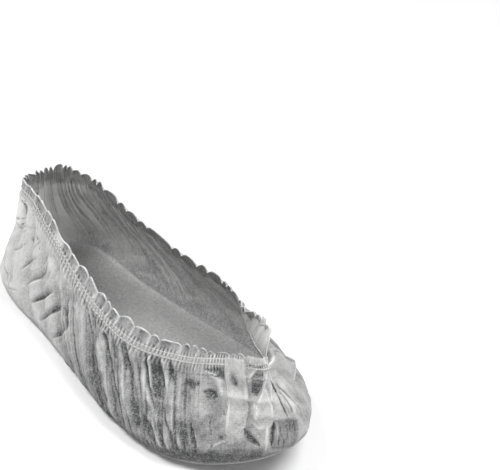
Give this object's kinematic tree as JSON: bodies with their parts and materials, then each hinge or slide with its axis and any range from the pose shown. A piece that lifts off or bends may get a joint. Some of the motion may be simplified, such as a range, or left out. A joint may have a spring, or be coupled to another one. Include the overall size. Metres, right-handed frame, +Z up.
{
  "type": "disposable shoe cover",
  "caption": "Gathered nonwoven shoe cover in its worn form, with a hemmed, elasticated opening over a hollow for the shoe.",
  "frame": {"origin": "on the floor under the middle of the cover's box", "axes": "+Z up, the toe at -Y, the wearer's right side at -X"},
  "size_m": [0.1302, 0.3016, 0.0954],
  "materials": {
    "nonwoven": "light grey spun-bonded polypropylene, thermally point-bonded",
    "hem": "the same nonwoven, doubled over the elastic",
    "elastic": "white covered elastic",
    "seam": "sewn seam allowance of the same nonwoven"
  },
  "bodies": {
    "root": {"cover_body": "nonwoven", "hem_band": "hem", "elastic_band": "elastic", "toe_seam": "seam", "heel_seam": "seam"}
  },
  "joints": []
}
